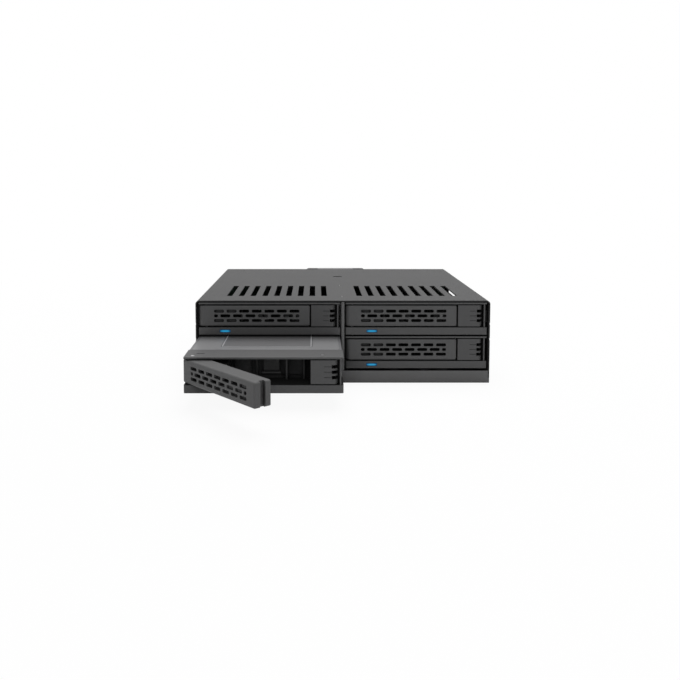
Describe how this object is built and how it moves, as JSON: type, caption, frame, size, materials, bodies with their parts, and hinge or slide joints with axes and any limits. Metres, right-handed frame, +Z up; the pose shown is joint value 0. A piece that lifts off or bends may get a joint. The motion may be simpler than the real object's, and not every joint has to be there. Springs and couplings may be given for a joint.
{
  "type": "hot swap drive cage",
  "caption": "Four tray hot swap cage for 2.5 inch drives in a 5.25 inch half-height bay, one tray standing open.",
  "frame": {"origin": "on the centre line, in the plane of the tray fronts, on the underside of the base plate", "axes": "+X to the right seen from the front, +Y from the tray fronts to the back, +Z up"},
  "size_m": [0.146, 0.2368, 0.0413],
  "materials": {
    "coated_steel": "matt black powder coat with a fine texture",
    "tray_plastic": "moulded tray plastic, fine matt texture",
    "lever_plastic": "moulded lever plastic, satin texture",
    "button_plastic": "moulded button plastic, satin texture",
    "pin_steel": "bright ground steel",
    "spring_steel": "rolled spring steel",
    "screw_steel": "zinc plated",
    "light_pipe_blue": "clear polished plastic lit blue",
    "drive_aluminium": "bead blasted, dark anodised",
    "drive_lid": "bead blasted, grey anodised",
    "connector_plastic": "moulded connector plastic",
    "board_green": "solder mask",
    "fan_plastic": "glass filled plastic",
    "light_lens": "clear light body"
  },
  "bodies": {
    "cage": {"top_cover": "coated_steel", "base_plate": "coated_steel", "center_divider": "coated_steel", "backplane_board": "board_green", "drive_sockets": "connector_plastic", "data_ports": "connector_plastic", "power_ports": "connector_plastic", "status_lights": "light_lens", "board_standoffs": "pin_steel", "board_screws": "screw_steel", "fan_housing": "fan_plastic", "fan_screws": "screw_steel", "cover_screws": "screw_steel", "board_components": "connector_plastic"},
    "fan_rotor": {"fan_rotor": "fan_plastic"},
    "tray_upper_left": {"tray_upper_left": "tray_plastic", "light_pipe_upper_left": "light_pipe_blue", "lever_pin_upper_left": "pin_steel", "button_pin_upper_left": "pin_steel", "button_spring_upper_left": "spring_steel"},
    "lever_upper_left": {"lever_upper_left": "lever_plastic"},
    "button_upper_left": {"release_button_upper_left": "button_plastic"},
    "tray_upper_right": {"tray_upper_right": "tray_plastic", "light_pipe_upper_right": "light_pipe_blue", "lever_pin_upper_right": "pin_steel", "button_pin_upper_right": "pin_steel", "button_spring_upper_right": "spring_steel"},
    "lever_upper_right": {"lever_upper_right": "lever_plastic"},
    "button_upper_right": {"release_button_upper_right": "button_plastic"},
    "tray_lower_left": {"tray_lower_left": "tray_plastic", "light_pipe_lower_left": "light_pipe_blue", "lever_pin_lower_left": "pin_steel", "button_pin_lower_left": "pin_steel", "button_spring_lower_left": "spring_steel", "drive_housing": "drive_aluminium", "drive_cover": "drive_lid", "drive_connector": "connector_plastic", "drive_screws": "screw_steel"},
    "lever_lower_left": {"lever_lower_left": "lever_plastic"},
    "button_lower_left": {"release_button_lower_left": "button_plastic"},
    "tray_lower_right": {"tray_lower_right": "tray_plastic", "light_pipe_lower_right": "light_pipe_blue", "lever_pin_lower_right": "pin_steel", "button_pin_lower_right": "pin_steel", "button_spring_lower_right": "spring_steel"},
    "lever_lower_right": {"lever_lower_right": "lever_plastic"},
    "button_lower_right": {"release_button_lower_right": "button_plastic"}
  },
  "joints": [
    {"name": "fan_spin", "type": "hinge", "parent": "cage", "child": "fan_rotor", "pos_m": [0, 0.143, 0.0203], "axis": [0, 1, 0], "continuous": true},
    {"name": "slide_upper_left", "type": "slide", "parent": "cage", "child": "tray_upper_left", "axis": [0, -1, 0], "range_m": [0, 0.12]},
    {"name": "open_upper_left", "type": "hinge", "parent": "tray_upper_left", "child": "lever_upper_left", "pos_m": [-0.068, 0.0036, 0.0337], "axis": [0, 0, -1], "range_deg": [0, 75]},
    {"name": "press_upper_left", "type": "hinge", "parent": "tray_upper_left", "child": "button_upper_left", "pos_m": [-0.0104, 0.005, 0.0337], "axis": [0, 0, 1], "range_deg": [0, 10], "stiffness_Nm_per_rad": 0.05, "deforming": ["button_spring_upper_left"]},
    {"name": "slide_upper_right", "type": "slide", "parent": "cage", "child": "tray_upper_right", "axis": [0, -1, 0], "range_m": [0, 0.12]},
    {"name": "open_upper_right", "type": "hinge", "parent": "tray_upper_right", "child": "lever_upper_right", "pos_m": [0.0048, 0.0036, 0.0337], "axis": [0, 0, -1], "range_deg": [0, 75]},
    {"name": "press_upper_right", "type": "hinge", "parent": "tray_upper_right", "child": "button_upper_right", "pos_m": [0.0624, 0.005, 0.0337], "axis": [0, 0, 1], "range_deg": [0, 10], "stiffness_Nm_per_rad": 0.05, "deforming": ["button_spring_upper_right"]},
    {"name": "slide_lower_left", "type": "slide", "parent": "cage", "child": "tray_lower_left", "axis": [0, -1, 0], "range_m": [-0.046, 0.074]},
    {"name": "open_lower_left", "type": "hinge", "parent": "tray_lower_left", "child": "lever_lower_left", "pos_m": [-0.068, -0.0424, 0.0168], "axis": [0, 0, -1], "range_deg": [-50, 25]},
    {"name": "press_lower_left", "type": "hinge", "parent": "tray_lower_left", "child": "button_lower_left", "pos_m": [-0.0104, -0.041, 0.0168], "axis": [0, 0, 1], "range_deg": [0, 10], "stiffness_Nm_per_rad": 0.05, "deforming": ["button_spring_lower_left"]},
    {"name": "slide_lower_right", "type": "slide", "parent": "cage", "child": "tray_lower_right", "axis": [0, -1, 0], "range_m": [0, 0.12]},
    {"name": "open_lower_right", "type": "hinge", "parent": "tray_lower_right", "child": "lever_lower_right", "pos_m": [0.0048, 0.0036, 0.0168], "axis": [0, 0, -1], "range_deg": [0, 75]},
    {"name": "press_lower_right", "type": "hinge", "parent": "tray_lower_right", "child": "button_lower_right", "pos_m": [0.0624, 0.005, 0.0168], "axis": [0, 0, 1], "range_deg": [0, 10], "stiffness_Nm_per_rad": 0.05, "deforming": ["button_spring_lower_right"]}
  ]
}
